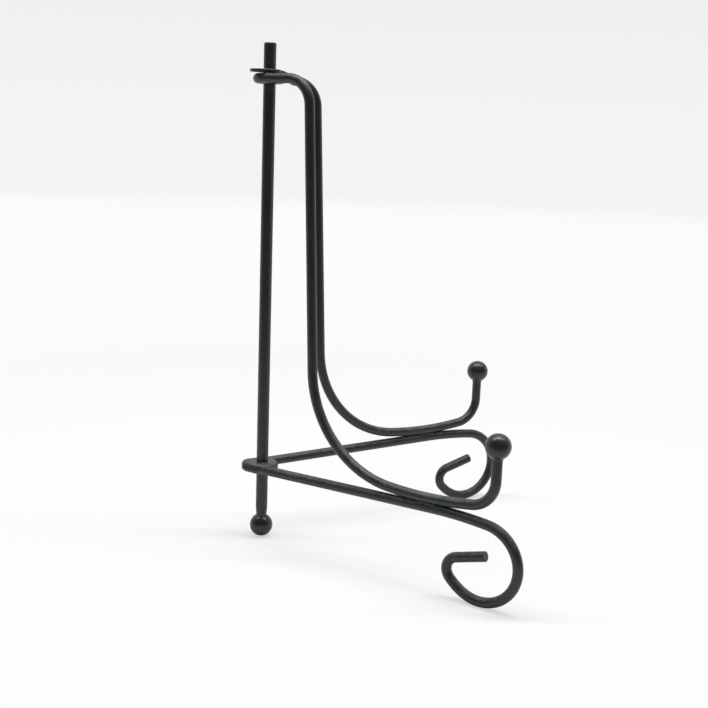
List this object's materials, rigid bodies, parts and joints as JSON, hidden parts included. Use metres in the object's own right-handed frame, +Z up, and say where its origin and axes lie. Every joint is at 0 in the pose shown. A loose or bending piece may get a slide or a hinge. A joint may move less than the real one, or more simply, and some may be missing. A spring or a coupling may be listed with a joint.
{
  "type": "folding wire display stand",
  "caption": "Folding wire easel for a photo album, book or plate: a rear post on a ball foot carries two hinged wire wings with a shelf, a ball-ended hook and a scroll foot each.",
  "frame": {"origin": "where the axis of the rear post meets the floor, under its ball foot", "axes": "+Z up along the rear post; the stand faces -Y, with its left wing at -X as seen from behind it"},
  "size_m": [0.1514, 0.1192, 0.2156],
  "materials": {
    "powder_coat": "satin black powder coat"
  },
  "bodies": {
    "post": {"rear_post": "powder_coat", "rear_foot_ball": "powder_coat"},
    "left_wing": {"left_back_wire": "powder_coat", "left_leg_wire": "powder_coat", "left_hook_ball": "powder_coat"},
    "right_wing": {"right_back_wire": "powder_coat", "right_leg_wire": "powder_coat", "right_hook_ball": "powder_coat"}
  },
  "joints": [
    {"name": "left_swing", "type": "hinge", "parent": "post", "child": "left_wing", "pos_m": [0, 0, 0], "axis": [0, 0, 1], "range_deg": [-22, 31.5]},
    {"name": "right_swing", "type": "hinge", "parent": "post", "child": "right_wing", "pos_m": [0, 0, 0], "axis": [0, 0, -1], "range_deg": [-22, 31.5]}
  ]
}
